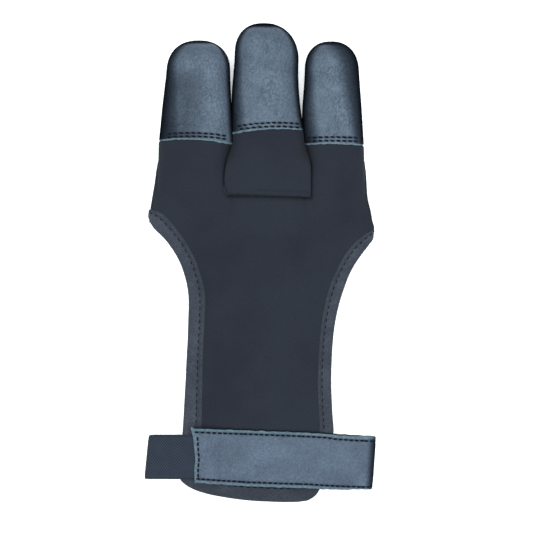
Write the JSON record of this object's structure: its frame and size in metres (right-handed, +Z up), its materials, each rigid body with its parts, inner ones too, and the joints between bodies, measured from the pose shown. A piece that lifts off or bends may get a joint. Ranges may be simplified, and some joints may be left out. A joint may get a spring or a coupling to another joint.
{
  "type": "archery glove",
  "caption": "Finger glove for drawing a bowstring: hollow leather fingertips on a stretch fabric back with a taped edge and a wrist strap of leather and elastic.",
  "frame": {"origin": "under the middle of the glove's box, on the surface it lies on", "axes": "+Y from the wrist strap to the fingertips, +X towards the ring finger, +Z up out of the back of the hand"},
  "size_m": [0.1038, 0.2152, 0.0168],
  "materials": {
    "stretch_fabric": "matte",
    "tip_leather": "satin",
    "strap_leather": "satin",
    "edge_tape": "matte",
    "woven_elastic": "matte"
  },
  "bodies": {
    "root": {"back_panel": "stretch_fabric", "palm_panel": "stretch_fabric", "middle_finger_panel": "stretch_fabric", "index_tip": "tip_leather", "middle_tip": "tip_leather", "ring_tip": "tip_leather", "edge_binding": "edge_tape", "strap_leather": "strap_leather", "strap_webbing": "woven_elastic", "strap_fastener": "woven_elastic"}
  },
  "joints": []
}
